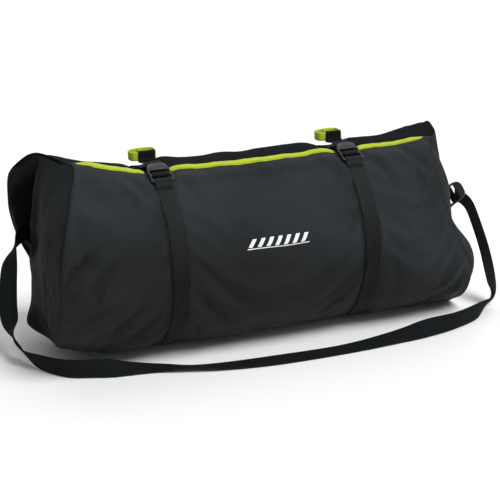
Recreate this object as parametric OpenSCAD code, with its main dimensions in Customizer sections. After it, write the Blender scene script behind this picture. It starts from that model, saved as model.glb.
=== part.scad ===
// Roll-shaped rope storage bag with a bound front lip, two buckled load straps,
// a rope sheet inside and a flat shoulder strap. +X is the right end, -Y the
// front, +Z up. Origin: middle of the resting area, on the floor.

/* [Body] */
// Radius of the filled roll, outside the cloth
body_r = 127; // [90:1:180]
// Height of the roll's axis above the floor
axis_h = 123; // [85:1:175]
// Half length of the roll at its right front seam
seam_x = 290; // [180:1:400]
// Half length of the roll at its rear ears
ear_x = 322; // [200:1:430]
// Thickness of the hemmed cloth
cloth_t = 2; // [1:0.5:4]
// How deep the end panels are tucked in, from the ears
tuck_depth = 46; // [0:1:60]

/* [Mouth] */
// Angle of the lip's bound edge, from the top towards the front
lip_top = 12; // [5:1:30]
// Angle of the lip's fold line, from the top towards the front
lip_fold = 95; // [70:1:120]
// Angle of the rear flap's seam, from the top towards the front
flap_rear = -32; // [-60:1:-20]
// Angle of the rear flap's free edge under the lip
flap_front = 28; // [15:1:45]
// Thickness of the binding tape
bind_t = 1.2; // [0.6:0.1:2]

/* [Webbing] */
// Width of all black webbing
web_w = 25; // [15:1:40]
// Thickness of the webbing
web_t = 1.4; // [0.8:0.1:3]
// Place of the left load strap along the roll
left_x = -153; // [-220:1:-60]
// Place of the right load strap along the roll
right_x = 131; // [60:1:220]
// Width of the lime pull loop's webbing
loop_w = 12; // [8:1:20]

/* [Buckle] */
// Outer width of a ladder buckle
buckle_w = 34; // [24:1:50]
// Thickness of a ladder buckle's frame
buckle_t = 3.6; // [2.5:0.1:6]
// Angle at which the buckles' anchor bars sit
buckle_at = 27; // [20:1:40]

/* [Shoulder strap] */
// Thickness of the shoulder strap
sling_t = 1.6; // [1:0.1:3]

/* [Inside] */
// Length of the folded rope sheet
sheet_l = 430; // [200:1:520]
// Depth of the folded rope sheet
sheet_d = 110; // [60:1:140]
// Height of the folded rope sheet's stack
sheet_h = 12; // [6:1:30]

/* [Hidden] */
$fn = 96;
gap = 0.6;
clear = 0.08;
lip_r = body_r + gap;
bar_r = 2;
bar_v = 11.5;
end_v = 22.5;
tab_v = 30;
anchor_r = body_r + 6.4;
ax_y = -anchor_r * sin(buckle_at);
ax_z = axis_h + anchor_r * cos(buckle_at);
fold_mid = lip_fold + 0.8;
eye_r = 2.6;
end_x = seam_x + 21;
pull_y = -6;
pull_z = 255;
wrap_y = 2.4;
wrap_z = 261;
tail_half = web_w / 2 - 0.5;
loop_half = 19;
loop_deep = 20;
print_x = -57;
print_l = 92;
print_z = 151;
print_h = 17;
sling_x = end_x + 5;
sling_y = -10;
sling_z = 148;
sling_lean = 35;
sling_turn = 35;
sling_sub = 3;
sling_route = [
    [-299, 82, 152], [-318, 68, 148], [-336, 48, 125], [-346, 30, 95], [-353, 8, 62],
    [-353, -16, 34], [-345, -38, 18], [-332, -64, 13.6], [-306, -98, 13.4], [-270, -114, 13.6],
    [-230, -115, 7.6], [-190, -120, 3.2], [-152, -136, 4.6], [-105, -149, 2.6],
    [-30, -160, 2.8], [75, -162, 2.8], [160, -158, 6.4], [205, -158, 12],
    [250, -153, 13.4], [300, -133, 13.4], [338, -106, 15], [357, -84, 26], [361.5, -67, 50],
    [360, -54, 78], [355, -40, 109], [348, -27, 138], [338.5, -18.5, 150.6], [328.8, -14.2, 153.8]];
sling_width = [
    [0, 0, 1], [0.1, 0, 1], [0.6, -0.2, 0.75], [0.85, -0.4, 0.3], [0.85, -0.5, 0],
    [-0.2, -0.97, 0.1], [-0.3, -0.75, 0.55], [-0.1, -0.3, 0.95], [0, 0, 1], [0, 0.1, 1],
    [0, 0.88, 0.47], [0, 1, 0.08], [0, 0.97, -0.24], [0, 1, -0.05],
    [0, 1, 0.12], [0, 1, 0.1], [0, 0.89, 0.4], [0, 0.5, 0.86],
    [0, 0.05, 1], [0, 0, 1], [0.2, 0.2, 0.95], [0.6, 0.4, 0.6], [0.85, 0.5, 0.1],
    [0.9, 0.45, 0], [0.85, 0.5, 0.1], [0.6, 0.6, 0.45], [0.2, 0.75, 0.6], [0, 0.82, 0.57]];

// A point of the roll's section: angle from the top towards the front, radius
function at(a, r) = [-r * sin(a), axis_h + r * cos(a)];
function arc(a0, a1, r, step = 3) =
    let (n = max(1, ceil(abs(a1 - a0) / step)))
    [for (i = [0:n]) at(a0 + (a1 - a0) * i / n, r)];
// A point of a buckle's section: v towards the thumb tab, w away from the roll
function on_buckle(v, w) =
    [ax_y + v * cos(buckle_at) - w * sin(buckle_at), ax_z + v * sin(buckle_at) + w * cos(buckle_at)];

// Outline of a band of thickness t that follows a path
function unit(v) = v / norm(v);
function turn(v) = [-v[1], v[0]];
function heading(p, i) = unit(p[min(i + 1, len(p) - 1)] - p[max(i - 1, 0)]);
function side_of(p, t) = [for (i = [0:len(p) - 1]) p[i] + turn(heading(p, i)) * t];
function reversed(p) = [for (i = [len(p) - 1:-1:0]) p[i]];
function band(p, t) = concat(side_of(p, t / 2), reversed(side_of(p, -t / 2)));

// Places a drawing of the section (y, z) along the roll
module along(x0, x1) {
    translate([x0, 0, 0])
        rotate([90, 0, 90])
            linear_extrude(height = x1 - x0)
                children();
}

// Slice of the section between two angles
module wedge(a0, a1) {
    polygon(concat([[0, axis_h]], arc(a0, a1, 2 * body_r, 10)));
}

// Closed curve of the filled roll, flat where it rests
module roll_section(inset) {
    intersection() {
        translate([0, axis_h])
            circle(r = body_r - inset, $fn = 180);
        translate([-2 * body_r, inset])
            square([4 * body_r, 3 * body_r]);
    }
}

// The ends of the roll seen from above, each with a tuck behind its middle
function right_line(k) = [
    [seam_x - k, -2 * body_r],
    [seam_x - k, -body_r],
    [seam_x + 12 - k, -92],
    [end_x - k, -44],
    [end_x - k, 54],
    [ear_x - tuck_depth - k, 82],
    [ear_x - k, 104],
    [ear_x - 13 - k, body_r],
    [ear_x - 13 - k, 2 * body_r]];
function left_line(k) = [
    [6 - ear_x + k, -2 * body_r],
    [6 - ear_x + k, -body_r],
    [1 - ear_x + k, -96],
    [1 - ear_x + k, 54],
    [tuck_depth - ear_x + k, 82],
    [k - ear_x, 104],
    [13 - ear_x + k, body_r],
    [13 - ear_x + k, 2 * body_r]];

// The top corners in front of the tucks lean inwards
module top_cut(k) {
    for (sx = [-1, 1])
        translate([0, 70, 0])
            rotate([90, 0, 0])
                linear_extrude(height = 3 * body_r)
                    polygon([[sx * (ear_x - k), 165], [sx * (ear_x - 45 - k), 262],
                        [sx * (ear_x - 45 - k), 400], [sx * 2 * ear_x, 400], [sx * 2 * ear_x, 165]]);
}

module plan(k) {
    difference() {
        linear_extrude(height = 3 * body_r)
            polygon(concat(right_line(k), reversed(left_line(k))));
        top_cut(k);
    }
}

module cloth(a0, a1) {
    intersection() {
        plan(0);
        along(-ear_x, ear_x)
            intersection() {
                difference() {
                    roll_section(0);
                    roll_section(cloth_t);
                }
                wedge(a0, a1);
            }
    }
}

// The rear flap's path: joined under the back panel, then lower under the lip
function flap_path(k) = concat(
    arc(flap_rear - 8, -18, body_r - cloth_t - cloth_t / 2 + k, 4),
    arc(-2, flap_front, body_r - cloth_t - cloth_t / 2 - 0.9 + k, 4));

module flap_solid() {
    intersection() {
        plan(0);
        along(-ear_x, ear_x)
            polygon(band(flap_path(0), cloth_t));
    }
}

// Everything above the flap's inner face, to trim the end panels
module above_flap() {
    along(-ear_x, ear_x)
        polygon(concat(reversed(flap_path(-cloth_t / 2)), arc(flap_rear - 8, flap_front, 2 * body_r)));
}

// One end's cloth; side is 1 for the right end and -1 for the left
module end_panel(side) {
    difference() {
        intersection() {
            difference() {
                plan(0);
                plan(2.6);
            }
            along(min(0, side * ear_x), max(0, side * ear_x))
                roll_section(cloth_t);
        }
        above_flap();
    }
}

module lower_front_panel() {
    color([0.15, 0.17, 0.18])
        cloth(fold_mid + 0.8, 148);
}

module base_panel() {
    color([0.14, 0.16, 0.17])
        cloth(148, 214);
}

module back_panel() {
    color([0.15, 0.17, 0.18])
        cloth(214, 360 + flap_rear);
}

module rear_flap() {
    color([0.11, 0.12, 0.13])
        flap_solid();
}

module left_end_panel() {
    color([0.17, 0.18, 0.2])
        difference() {
            end_panel(-1);
            left_webbing_block();
        }
}

module right_end_panel() {
    color([0.17, 0.18, 0.2])
        end_panel(1);
}

module upper_front_panel() {
    color([0.21, 0.23, 0.24])
        intersection() {
            plan(0);
            along(-ear_x, ear_x)
                polygon(band(arc(lip_top + bind_t / 2, lip_fold, lip_r - cloth_t / 2), cloth_t));
        }
}

// Tape folded over the lip's edge
module lip_binding() {
    mid = lip_r - cloth_t / 2;
    color([0.79, 0.85, 0.21])
        intersection() {
            plan(0);
            along(-ear_x + 52, ear_x - 52)
                difference() {
                    polygon(band(arc(lip_top, lip_top + 4.4, mid, 1), cloth_t + 2 * bind_t));
                    polygon(band(arc(lip_top + bind_t / 2, lip_top + 6, mid, 1), cloth_t + 2 * clear));
                }
        }
}

// A length of webbing that follows a path of the section
module webbing(path, x) {
    along(x - web_w / 2, x + web_w / 2)
        polygon(band(path, web_t));
}

module front_strap(x) {
    webbing(arc(fold_mid + 0.8, 147, body_r + web_t / 2 + clear), x);
}

// Webbing sewn up the lip, with a closed eye round the buckle's anchor bar
module buckle_strap(x) {
    under = -eye_r - web_t / 2 - 0.2;
    low = [on_buckle(-2.4, under), on_buckle(0.6, under)];
    difference() {
        union() {
            webbing(concat(arc(lip_fold, buckle_at + 6, lip_r + web_t / 2 + clear), low), x);
            bar_round(x, eye_r + web_t, web_w);
        }
        bar_round(x, eye_r, web_w + 2);
    }
}
module bar_round(x, r, len) {
    translate([x, ax_y, ax_z])
        rotate([0, 90, 0])
            cylinder(r = r, h = len, center = true);
}

// Webbing from the base seam up the back and over the flap
module load_strap(x) {
    webbing(concat(arc(-146, -30, body_r + web_t / 2 + clear),
        arc(-20, 6, body_r + web_t / 2 + 0.6, 6)), x);
}

// The same webbing from the flap's edge, over the lip and under the thumb tab
module load_strap_end(x) {
    over = [at(6.6, body_r + web_t / 2 + 0.7), at(10.5, body_r + web_t / 2 + 1.7), on_buckle(28, -5.6),
        on_buckle(end_v, -5), on_buckle(bar_v + 0.6, -5)];
    webbing(over, x);
}

// One-piece ladder buckle drawn flat: u across, v towards the thumb tab
module buckle_plan() {
    rail = 3.6;
    difference() {
        union() {
            translate([-buckle_w / 2, 0])
                square([buckle_w, end_v + 2]);
            translate([-buckle_w / 2 + 3, end_v])
                square([buckle_w - 6, 5]);
        }
        translate([-buckle_w / 2 + rail, -1])
            square([buckle_w - 2 * rail, bar_v - 1.2]);
        translate([-buckle_w / 2 + rail, bar_v + 2])
            square([buckle_w - 2 * rail, end_v - bar_v - 4]);
    }
}

// Buckle in its own frame: anchor bar on the X axis, +Y towards the tab, +Z out
module buckle_solid() {
    union() {
        translate([0, 0, -buckle_t / 2])
            linear_extrude(height = buckle_t)
                buckle_plan();
        rotate([0, 90, 0])
            cylinder(r = bar_r, h = buckle_w, center = true);
        translate([0, end_v + 1, 0])
            intersection() {
                rotate([20, 0, 0])
                    translate([0, 0, -0.4])
                        linear_extrude(height = 2.4)
                            intersection() {
                                translate([0, -3])
                                    circle(r = 15);
                                translate([-15, 0])
                                    square([30, 30]);
                            }
                translate([-15, 0, -4])
                    cube([30, 30, 30]);
            }
    }
}

module place_buckle(x) {
    translate([x, ax_y, ax_z])
        rotate([buckle_at, 0, 0])
            children();
}

module ladder_buckle(x) {
    color([0.17, 0.18, 0.19])
        place_buckle(x)
            buckle_solid();
}

// Free end of the load strap, leaving under the thumb tab
module strap_tail(x) {
    out = [on_buckle(17.6, -2.9), on_buckle(27, -2.9), on_buckle(33, -2.4), [-22, 256],
        [pull_y - 1.2, pull_z]];
    color([0.07, 0.09, 0.06])
        along(x - tail_half, x + tail_half)
            polygon(band(out, web_t));
}

// The strap's turn: up round the buckle's middle bar and down under the tab
module bar_turn(x) {
    turn_path = [on_buckle(12.4, -2.9), on_buckle(9.6, -2.8), on_buckle(8.2, -1.6), on_buckle(8, 1.4),
        on_buckle(9.2, 2.8), on_buckle(13.6, 2.8), on_buckle(14.7, 1.5), on_buckle(15.1, -1.2),
        on_buckle(16.9, -2.9)];
    color([0.07, 0.08, 0.08])
        along(x - tail_half, x + tail_half)
            polygon(band(turn_path, web_t));
}

// The tail's folded end, sewn round the pull loop
module tail_wrap(x) {
    color([0.07, 0.09, 0.06])
        along(x - tail_half, x + tail_half)
            difference() {
                union() {
                    translate([pull_y + 1.2, pull_z - web_t / 2])
                        square([5, web_t]);
                    translate([wrap_y - 1.5 - web_t, wrap_z - loop_w / 2 - 0.5 - web_t])
                        square([3 + 2 * web_t, loop_w + 1 + 2 * web_t]);
                }
                translate([wrap_y - 1.5, wrap_z - loop_w / 2 - 0.5])
                    square([3, loop_w + 1]);
            }
}

// Rounded ring blank, its near side along the X axis
module ring(half, deep, high, start) {
    r = deep / 4;
    translate([0, start, -high / 2])
        linear_extrude(height = high)
            union() {
                translate([-half + r, 0])
                    square([2 * (half - r), deep]);
                translate([-half, r])
                    square([2 * half, deep - 2 * r]);
                for (sx = [-1, 1])
                    for (sy = [r, deep - r])
                        translate([sx * (half - r), sy])
                            circle(r = r);
            }
}

// Flat lime webbing ring, standing on edge
module pull_loop(x, loop_side) {
    color([0.72, 0.8, 0.25])
        translate([x - loop_side, wrap_y, wrap_z])
            difference() {
                ring(loop_half, loop_deep, loop_w, -0.8);
                ring(loop_half - 1.6, loop_deep - 3.2, loop_w + 2, 0.8);
            }
}

// Turns the shoulder strap's hardware on the right end
module at_right_end() {
    translate([sling_x, sling_y, sling_z])
        rotate([sling_turn, 0, 0])
            children();
}

// Strip sewn on the right end, with a closed eye for the shoulder buckle
module right_end_webbing() {
    color([0.1, 0.11, 0.11])
        at_right_end()
            translate([0, web_w / 2, 0])
                rotate([90, 0, 0])
                    linear_extrude(height = web_w)
                        difference() {
                            union() {
                                translate([end_x - sling_x, -56])
                                    square([web_t, 56]);
                                circle(r = eye_r + web_t);
                            }
                            circle(r = eye_r);
                            translate([end_x - sling_x - 10, -80])
                                square([10, 160]);
                        }
}

// Doubled webbing that leaves the tuck of the left end
module left_end_webbing() {
    color([0.1, 0.11, 0.11])
        left_webbing_block();
}
module left_webbing_block() {
    translate([-298, 82 - web_t, 152 - web_w / 2])
        cube([36, 2 * web_t, web_w]);
}

module shoulder_buckle() {
    color([0.17, 0.18, 0.19])
        at_right_end()
            rotate([0, sling_lean, 0])
                rotate([90, 0, 90])
                    buckle_solid();
}

// Folded ground sheet lying on the base
module rope_sheet() {
    color([0.32, 0.35, 0.37])
        intersection() {
            along(-sheet_l / 2, sheet_l / 2)
                roll_section(cloth_t);
            translate([-sheet_l / 2, -sheet_d / 2, 0])
                cube([sheet_l, sheet_d, cloth_t + sheet_h]);
        }
}

// Webbing loop inside an end panel, for a rope end
module tie_in_loop(face_x) {
    color([0.79, 0.85, 0.21])
        translate([face_x - 17, 8, 66])
            rotate([90, 0, 0])
                linear_extrude(height = 16)
                    difference() {
                        union() {
                            circle(r = 16);
                            translate([15, -12])
                                square([2, 24]);
                        }
                        circle(r = 14.4);
                    }
}

// Printed patch on the lip: leaning lozenges on a line, like laid rope
module front_print() {
    color([0.92, 0.93, 0.93])
        intersection() {
            along(print_x, print_x + print_l)
                polygon(band(arc(66, 82, lip_r + 0.2, 1), 0.4));
            translate([0, 2 - 2 * body_r, 0])
                rotate([90, 0, 0])
                    mirror([0, 0, 1])
                        linear_extrude(height = 2 * body_r)
                            translate([print_x, print_z])
                                print_plan();
        }
}
module print_plan() {
    pitch = (print_l - 17) / 6;
    square([print_l, 1.4]);
    for (i = [0:6])
        translate([i * pitch, 0])
            polygon([[0, 0], [7.5, 0], [17, print_h], [9.5, print_h]]);
}

// Shoulder strap: a flat band swept along its route
function blend_pts(p, i, t) =
    let (a = p[max(i - 1, 0)], b = p[i], c = p[i + 1], d = p[min(i + 2, len(p) - 1)])
    0.5 * ((2 * b) + (c - a) * t + (2 * a - 5 * b + 4 * c - d) * t * t
        + (3 * b - a - 3 * c + d) * t * t * t);
function spread(p) = concat(
    [for (i = [0:len(p) - 2], k = [0:sling_sub - 1]) blend_pts(p, i, k / sling_sub)], [p[len(p) - 1]]);
function way(p, i) = unit(p[min(i + 1, len(p) - 1)] - p[max(i - 1, 0)]);
function across(w, t) = unit(w - t * (w * t));

module shoulder_strap() {
    pts = spread(sling_route);
    dirs = spread(sling_width);
    n = len(pts);
    rings = [for (i = [0:n - 1])
        let (t = way(pts, i), w = across(dirs[i], t) * web_w / 2, h = unit(cross(t, w)) * sling_t / 2)
        for (q = [w + h, h - w, -w - h, w - h]) pts[i] + q];
    color([0.1, 0.11, 0.12])
        polyhedron(
            points = rings,
            faces = concat(
                [[0, 1, 2, 3]],
                [for (i = [0:n - 2], k = [0:3])
                    let (a = 4 * i + k, b = 4 * i + (k + 1) % 4)
                    each [[a, a + 4, b + 4], [a, b + 4, b]]],
                [[4 * n - 1, 4 * n - 2, 4 * n - 3, 4 * n - 4]]));
}

module left_front_strap() {
    color([0.09, 0.1, 0.11])
        front_strap(left_x);
}

module right_front_strap() {
    color([0.09, 0.1, 0.11])
        front_strap(right_x);
}

module left_load_strap() {
    color([0.09, 0.1, 0.11])
        load_strap(left_x);
}

module right_load_strap() {
    color([0.09, 0.1, 0.11])
        load_strap(right_x);
}

module left_strap_end() {
    color([0.09, 0.1, 0.11])
        load_strap_end(left_x);
}

module right_strap_end() {
    color([0.09, 0.1, 0.11])
        load_strap_end(right_x);
}

module left_buckle_strap() {
    color([0.09, 0.1, 0.11])
        buckle_strap(left_x);
}

module right_buckle_strap() {
    color([0.09, 0.1, 0.11])
        buckle_strap(right_x);
}

module left_buckle() {
    ladder_buckle(left_x);
}

module right_buckle() {
    ladder_buckle(right_x);
}

module left_bar_turn() {
    bar_turn(left_x);
}

module right_bar_turn() {
    bar_turn(right_x);
}

module left_tail() {
    strap_tail(left_x);
}

module right_tail() {
    strap_tail(right_x);
}

module left_tail_wrap() {
    tail_wrap(left_x);
}

module right_tail_wrap() {
    tail_wrap(right_x);
}

module left_pull_loop() {
    pull_loop(left_x, 3);
}

module right_pull_loop() {
    pull_loop(right_x, 4);
}

module left_tie_in_loop() {
    mirror([1, 0, 0])
        tie_in_loop(ear_x - 1 - 2.6);
}

module right_tie_in_loop() {
    tie_in_loop(end_x - 2.6);
}

lower_front_panel();
base_panel();
back_panel();
rear_flap();
left_end_panel();
right_end_panel();
left_end_webbing();
right_end_webbing();
left_front_strap();
right_front_strap();
left_load_strap();
right_load_strap();
rope_sheet();
left_tie_in_loop();
right_tie_in_loop();
upper_front_panel();
lip_binding();
left_buckle_strap();
right_buckle_strap();
left_strap_end();
right_strap_end();
front_print();
left_buckle();
right_buckle();
left_bar_turn();
right_bar_turn();
left_tail();
right_tail();
left_tail_wrap();
right_tail_wrap();
left_pull_loop();
right_pull_loop();
shoulder_buckle();
shoulder_strap();
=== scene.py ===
import math

import bmesh
import bpy
import numpy as np
from mathutils import Matrix, Vector


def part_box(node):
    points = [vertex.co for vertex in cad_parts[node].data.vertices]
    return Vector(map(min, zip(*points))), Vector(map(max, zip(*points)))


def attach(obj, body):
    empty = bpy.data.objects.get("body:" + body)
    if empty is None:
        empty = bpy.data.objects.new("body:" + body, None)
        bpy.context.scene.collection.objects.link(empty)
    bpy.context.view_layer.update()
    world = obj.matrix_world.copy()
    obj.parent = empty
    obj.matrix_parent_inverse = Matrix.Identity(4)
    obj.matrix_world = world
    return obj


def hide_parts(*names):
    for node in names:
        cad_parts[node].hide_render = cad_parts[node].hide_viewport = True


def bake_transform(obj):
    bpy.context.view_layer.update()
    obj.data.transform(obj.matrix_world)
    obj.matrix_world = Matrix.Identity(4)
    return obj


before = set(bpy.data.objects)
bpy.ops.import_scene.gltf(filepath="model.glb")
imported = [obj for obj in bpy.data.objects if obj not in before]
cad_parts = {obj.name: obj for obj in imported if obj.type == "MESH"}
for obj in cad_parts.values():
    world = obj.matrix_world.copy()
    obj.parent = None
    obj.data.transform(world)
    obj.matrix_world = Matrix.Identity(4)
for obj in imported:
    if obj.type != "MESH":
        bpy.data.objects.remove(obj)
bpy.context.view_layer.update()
MM = 0.001
# The bodies that cloth bends between at the mouth, and the points where each bend starts and ends
BAG, LIP = "bag", "front_lip"
LIP_BEND = ((0, -0.0825, 0.1436), (0, -0.1075, 0.1870))
LOAD_BEND = ((0, 0.004, 0), (0, -0.024, 0))


def add(name, data):
    """A new object with that data, in the scene."""
    obj = bpy.data.objects.new(name, data)
    bpy.context.scene.collection.objects.link(obj)
    return obj


# ------------------------------------------------------------------ camera
AZIMUTH, ELEVATION, DISTANCE = math.radians(-24), math.radians(18), 2.1
TARGET = Vector((0, 0, 0.107))
SENSOR, LENS = 36, 105.84


def make_camera():
    back = Vector((math.sin(AZIMUTH) * math.cos(ELEVATION),
                   -math.cos(AZIMUTH) * math.cos(ELEVATION), math.sin(ELEVATION)))
    right = Vector((math.cos(AZIMUTH), math.sin(AZIMUTH), 0))
    data = bpy.data.cameras.new("camera")
    data.sensor_width, data.lens, data.clip_end = SENSOR, LENS, 50
    cam = add("camera", data)
    place = Matrix((right, back.cross(right), back)).transposed().to_4x4()
    place.translation = TARGET + back * DISTANCE
    cam.matrix_world = place
    bpy.context.scene.camera = cam


make_camera()


# --------------------------------------------------------------- materials
class Graph:
    """A material in the making: adds linked shader nodes."""

    def __init__(self, name):
        self.mat = bpy.data.materials.new(name)
        self.mat.use_nodes = True
        self.tree = self.mat.node_tree
        self.shader = self.tree.nodes["Principled BSDF"]
        self.place = self.node("TexCoord").outputs["Object"]

    def put(self, node, inputs):
        """Links each named input of a node, or sets it to a number or a colour."""
        for key, value in inputs.items():
            if isinstance(value, bpy.types.NodeSocket):
                self.tree.links.new(value, node.inputs[key])
            else:
                node.inputs[key].default_value = (*value, 1) if isinstance(value, tuple) else value

    def node(self, kind, inputs=(), **settings):
        n = self.tree.nodes.new("ShaderNode" + kind)
        for key, value in settings.items():
            setattr(n, key, value)
        self.put(n, dict(inputs))
        return n

    def math(self, op, a, b=0.0):
        return self.node("Math", {0: a, 1: b}, operation=op).outputs[0]

    def plus(self, a, b):
        return self.math("ADD", a, b)

    def times(self, a, b):
        return self.math("MULTIPLY", a, b)

    def wave(self, distance, pitch):
        return self.math("SINE", self.times(distance, 2 * math.pi / pitch))

    def noise(self, scale, detail=3.0, rough=0.55):
        return self.node("TexNoise", {"Vector": self.place, "Scale": scale, "Detail": detail,
                                      "Roughness": rough}).outputs["Fac"]

    def ramp(self, fac, lo, hi, out_lo=0.0, out_hi=1.0):
        return self.node("MapRange", {"Value": fac, "From Min": lo, "From Max": hi, "To Min": out_lo,
                                      "To Max": out_hi}, clamp=True).outputs["Result"]

    def mix(self, fac, a, b):
        return self.node("Mix", {0: fac, 6: a, 7: b}, data_type="RGBA").outputs[2]

    def bump(self, height, distance, strength, **normal):
        return self.node("Bump", {"Height": height, "Distance": distance, "Strength": strength,
                                  **normal}).outputs["Normal"]

    def split(self, vector):
        return tuple(self.node("SeparateXYZ", {0: vector}).outputs)

    def weave(self):
        """Lengthways and crossways distance in the cloth, in metres."""
        return self.split(self.node("Attribute", attribute_name="weave").outputs["Vector"])[:2]

    def finish(self, base, normal, rough, gloss=0.5, sheen=0.0, nap=0.5):
        """Links what varies over the surface and sets the rest on the shader itself."""
        self.put(self.shader, {"Base Color": base, "Normal": normal, "Roughness": rough,
                               "Specular IOR Level": gloss, "Sheen Weight": sheen,
                               "Sheen Roughness": nap})
        return self.mat


def scaled(colour, k):
    return tuple(min(1.0, c * k) for c in colour)


def cloth_material(name, colour, thread=0.0006, rough=0.62, sheen=0.02, gloss=0.13):
    g = Graph(name)
    along, across = g.weave()
    broad, fine, worn = g.noise(7, 4), g.noise(900, 2), g.noise(60, 5, 0.7)
    base = g.mix(g.ramp(broad, 0.3, 0.7), scaled(colour, 0.825), scaled(colour, 1.175))
    base = g.mix(g.ramp(worn, 0.55, 0.8, 0, 0.35), base, scaled(colour, 1.6))
    base = g.mix(g.ramp(fine, 0.35, 0.65, 0, 0.3), base, scaled(colour, 0.55))
    # painted shade: darker towards the ground, reaching higher at the left and at the right end
    x, _, z = g.split(g.place)
    right_end = g.math("MAXIMUM", g.math("SUBTRACT", x, 0.19), 0.0)
    level = g.plus(g.plus(z, g.times(broad, 0.05)), g.plus(g.times(x, 0.17), g.times(right_end, 0.5)))
    base = g.mix(g.ramp(level, 0.143, 0.200, 0.68, 0), base, scaled(colour, 0.22))
    # painted shade: the cloth is darkened by each piece's painted-shade attribute, in creases, seams and
    # hollows
    painted_shade = g.node("Attribute", attribute_name="painted_shade").outputs["Fac"]
    base = g.mix(painted_shade, base, scaled(colour, 0.1))
    plain = g.times(g.wave(along, thread), g.wave(across, thread))
    crinkle = g.bump(worn, 0.0009, 0.5)
    normal = g.bump(g.plus(g.times(plain, 0.5), g.times(fine, 0.6)), 0.00016, 0.8, Normal=crinkle)
    return g.finish(base, normal, g.ramp(worn, 0.3, 0.75, rough - 0.07, rough + 0.08), gloss, sheen)


def webbing_material(name, colour, rib=0.0013, contrast=0.5, sheen=0.03, gloss=0.12,
                     shaded_low=False, worn_end=False):
    g = Graph(name)
    along, across = g.weave()
    # a flat tubular weave: short slanting floats that turn at the middle line
    rows = g.wave(g.plus(along, g.math("PINGPONG", across, 0.0031)), rib)
    cords = g.wave(across, 0.0016)
    fine, dirt = g.noise(1100, 2), g.noise(35, 4, 0.65)
    height = g.plus(g.times(rows, 0.5), g.times(cords, 0.3))
    base = g.mix(g.ramp(height, -0.6, 0.6), scaled(colour, 1 - contrast * 0.6),
                 scaled(colour, 1 + contrast))
    base = g.mix(g.ramp(dirt, 0.5, 0.8, 0, 0.4), base, scaled(colour, 1.5))
    if shaded_low:   # painted shade, darker low on the bag
        z = g.split(g.place)[2]
        base = g.mix(g.ramp(z, 0.12, 0.205, 0.85, 0), base, scaled(colour, 0.2))
    if worn_end:   # darker where it rises to the right fitting
        x, _, z = g.split(g.place)
        held = g.times(g.ramp(x, 0.20, 0.31), g.ramp(z, 0.02, 0.08))
        base = g.mix(g.times(held, 0.9), base, scaled(colour, 0.08))
    normal = g.bump(g.plus(height, g.times(fine, 0.5)), 0.00025, 0.9)
    return g.finish(base, normal, g.ramp(fine, 0.3, 0.7, 0.64, 0.76), gloss, sheen, 0.45)


def plastic_material(name, colour):
    g = Graph(name)
    scuff = g.noise(120, 5, 0.7)
    base = g.mix(g.ramp(scuff, 0.5, 0.75, 0, 0.5), colour, scaled(colour, 1.9))
    grain = g.bump(g.noise(1400), 0.00008, 0.6)
    return g.finish(base, grain, g.ramp(scuff, 0.3, 0.75, 0.32, 0.52), 0.42)


def film_material(name, colour):
    g = Graph(name)
    cracks = g.noise(160, 5, 0.7)
    base = g.mix(g.ramp(cracks, 0.58, 0.72, 0, 0.35), colour, scaled(colour, 0.55))
    pores = g.bump(g.noise(700), 0.00012, 0.7)
    return g.finish(base, pores, g.ramp(cracks, 0.3, 0.7, 0.42, 0.6))


CLOTH_COLOUR = (0.0235, 0.0275, 0.0305)
CLOTH = cloth_material("bag_cloth", CLOTH_COLOUR)
# painted shade: the flap over the top is a darker, duller copy of the bag cloth, standing for the shade
# it lies in
SHADED_FLAP = cloth_material("flap_cloth", (0.0118, 0.0139, 0.0158), rough=0.85, sheen=0.0, gloss=0.02)
END = cloth_material("end_cloth", CLOTH_COLOUR, sheen=0.0, gloss=0.05)
SHEET = cloth_material("sheet_cloth", (0.085, 0.098, 0.105), thread=0.0005, rough=0.5)
FRONT_WEB = webbing_material("front_webbing", (0.016, 0.0185, 0.0185), contrast=0.35, shaded_low=True)
BLACK = webbing_material("black_webbing", (0.0042, 0.0056, 0.0064))
SLING = webbing_material("sling_webbing", (0.0085, 0.0105, 0.0115), contrast=0.4, sheen=0.0, gloss=0.05,
                         worn_end=True)
BINDING = webbing_material("lime_binding", (0.48, 0.578, 0.033), rib=0.0010, contrast=0.18, sheen=0.1)
LIME = webbing_material("lime_webbing", (0.54, 0.65, 0.045), rib=0.0012, contrast=0.25, sheen=0.1)
THREAD = webbing_material("thread", (0.022, 0.025, 0.027), rib=0.0005, contrast=0.3)
LIME_THREAD = webbing_material("lime_thread", (0.42, 0.52, 0.03), rib=0.0005, contrast=0.3)
PLASTIC = plastic_material("buckle_plastic", (0.014, 0.0155, 0.017))
PRINT = film_material("print_film", (0.86, 0.87, 0.87))


# ------------------------------------------------------------ mesh helpers
def finish_piece(obj, material, body, stands_for=()):
    """body is a body's name, or the start and end of a bend between the bag and the lip."""
    obj.data.materials.clear()
    obj.data.materials.append(material)
    for p in obj.data.polygons:
        p.use_smooth = True
    finish = material.name.split(".")[0]
    if stands_for:
        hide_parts(*stands_for)
    if isinstance(body, str):
        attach(obj, body)
    else:
        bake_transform(obj)


def new_object(name, verts, faces, weave, painted_shade=None):
    """verts in millimetres; hollow holds painted shade, 0 on open cloth and 1 deep in a fold."""
    mesh = bpy.data.meshes.new(name)
    mesh.from_pydata((np.asarray(verts, float) * MM).tolist(), [], faces)
    mesh.update()
    attribute = mesh.attributes.new("weave", "FLOAT_VECTOR", "POINT")
    flat = np.zeros((len(verts), 3), np.float32)
    flat[:, :2] = np.asarray(weave, float) * MM
    attribute.data.foreach_set("vector", flat.ravel())
    if painted_shade is not None:
        attribute = mesh.attributes.new("painted_shade", "FLOAT", "POINT")
        attribute.data.foreach_set("value", np.tile(np.ravel(painted_shade), 2).astype(np.float32))
    bm = bmesh.new()
    bm.from_mesh(mesh)
    bmesh.ops.recalc_face_normals(bm, faces=bm.faces)
    bm.to_mesh(mesh)
    bm.free()
    return add(name, mesh)


def unit(v):
    """Vectors of length 1."""
    return v / np.maximum(np.linalg.norm(v, axis=-1, keepdims=True), 1e-9)


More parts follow.
